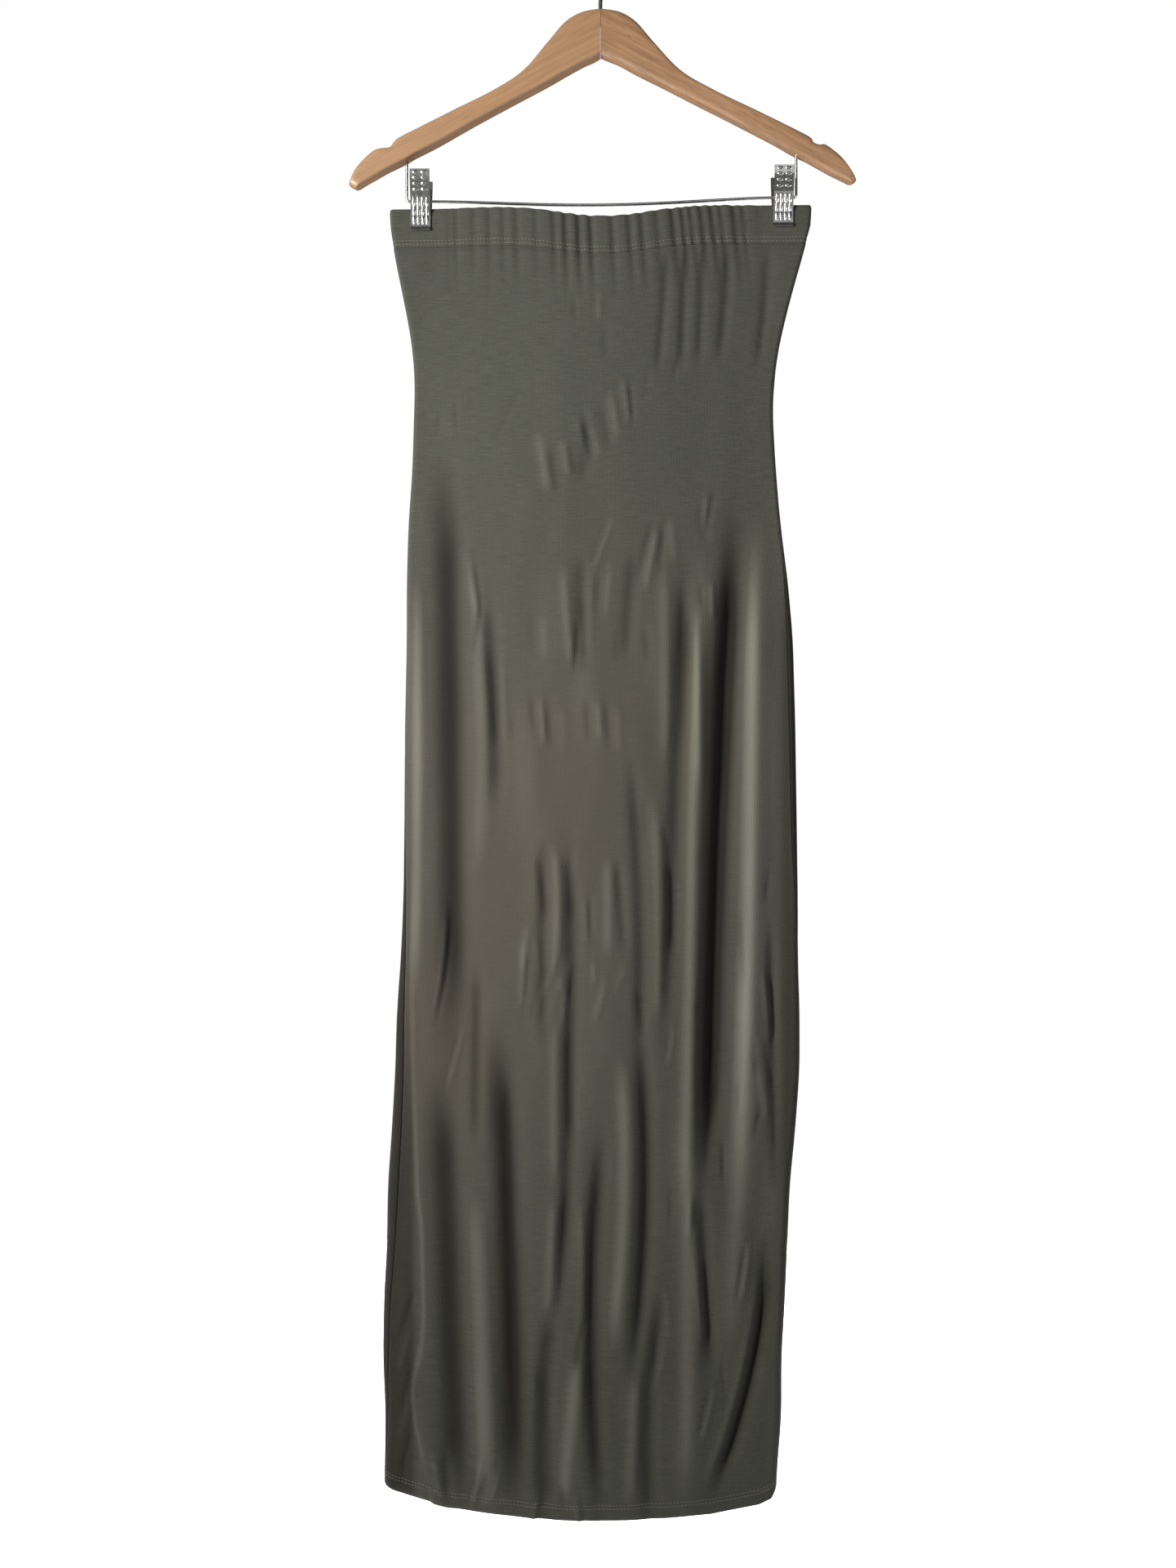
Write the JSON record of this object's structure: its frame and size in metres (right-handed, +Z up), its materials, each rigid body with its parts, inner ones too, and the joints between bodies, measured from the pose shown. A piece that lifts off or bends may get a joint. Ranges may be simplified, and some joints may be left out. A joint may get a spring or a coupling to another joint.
{
  "type": "strapless column dress on a wooden clip hanger",
  "caption": "Long strapless column dress in fine olive-grey jersey with a gathered elastic casing, clipped flat to a wooden hanger; open at the neck and the hem",
  "frame": {"origin": "inside top of the hanger's hook, the point that a rail carries", "axes": "+Z up, the front of the dress faces -Y, +X to the right of someone facing it"},
  "size_m": [0.441, 0.0619, 1.3645],
  "materials": {
    "jersey": "matt fine jersey",
    "light_wood": "satin varnish",
    "brown_wood": "satin varnish",
    "bright_steel": "bright plated"
  },
  "bodies": {
    "root": {"front_panel": "jersey", "back_panel": "jersey", "casing_front": "jersey", "casing_back": "jersey", "left_arm": "light_wood", "right_arm": "brown_wood", "clip_bar": "bright_steel", "hook": "bright_steel", "left_clip_back_jaw": "bright_steel", "left_clip_front_jaw": "bright_steel", "left_clip_spring": "bright_steel", "right_clip_back_jaw": "bright_steel", "right_clip_front_jaw": "bright_steel", "right_clip_spring": "bright_steel"}
  },
  "joints": []
}
